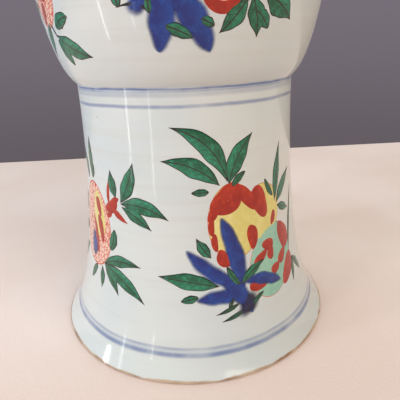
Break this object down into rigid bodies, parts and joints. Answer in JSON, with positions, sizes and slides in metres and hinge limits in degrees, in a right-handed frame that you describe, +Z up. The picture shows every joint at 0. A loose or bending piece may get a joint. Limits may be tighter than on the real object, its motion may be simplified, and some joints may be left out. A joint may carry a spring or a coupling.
{
  "type": "gu vase",
  "caption": "Gu form beaker vase with a flared foot, a bulb and a trumpet neck, painted porcelain.",
  "frame": {"origin": "centre of the flat face that the foot ring rests on", "axes": "+Z up along the axis of turning; -Y is the side that the picture faces"},
  "size_m": [0.1826, 0.1826, 0.39],
  "materials": {
    "glazed_porcelain": "gloss",
    "biscuit_porcelain": "matte",
    "luting_slip": "satin"
  },
  "bodies": {
    "root": {"foot_section": "glazed_porcelain", "base_floor": "biscuit_porcelain", "floor_lute": "luting_slip", "waist_lute": "luting_slip", "bulb_section": "glazed_porcelain", "shoulder_lute": "luting_slip", "trumpet_neck": "glazed_porcelain"}
  },
  "joints": []
}
